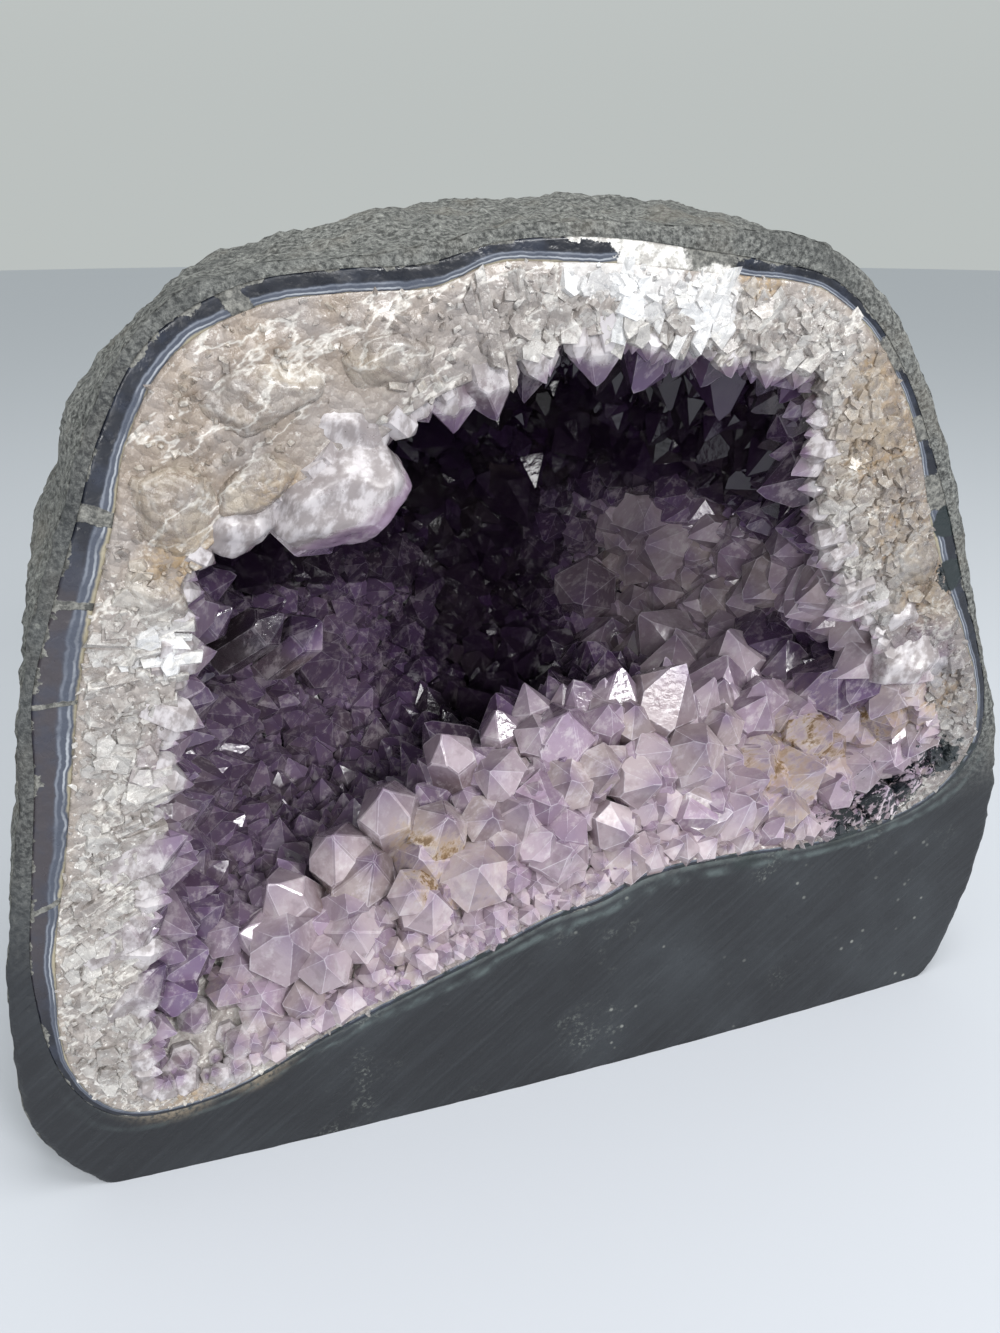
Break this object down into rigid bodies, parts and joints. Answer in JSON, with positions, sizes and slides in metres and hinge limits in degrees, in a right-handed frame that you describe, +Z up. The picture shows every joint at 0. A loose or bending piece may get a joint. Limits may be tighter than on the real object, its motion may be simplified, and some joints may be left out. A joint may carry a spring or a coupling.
{
  "type": "amethyst cathedral geode",
  "caption": "Hollow basalt dome open at the front, lined with a thin agate band and a thick crust of quartz and amethyst crystals, on a broad flat-cut base.",
  "frame": {"origin": "centre of the bounding box, at the height of the sawn resting face", "axes": "+X along the width, to the right as one looks into the hollow; +Y from the open cut face toward the rounded back; +Z up from the resting face"},
  "size_m": [0.2424, 0.1418, 0.1976],
  "materials": {
    "basalt": "fine dark grey rock, sawn and honed on the cut face with faint diagonal saw marks, rough and granular outside",
    "agate": "polished translucent bands, dark navy outside, pale blue-white and cream toward the crystals",
    "amethyst": "glassy crystal faces, milky white quartz at the rim and clear pale lilac to deep purple inside"
  },
  "bodies": {
    "root": {"basalt_shell": "basalt", "agate_band": "agate", "amethyst_crust": "amethyst"}
  },
  "joints": []
}
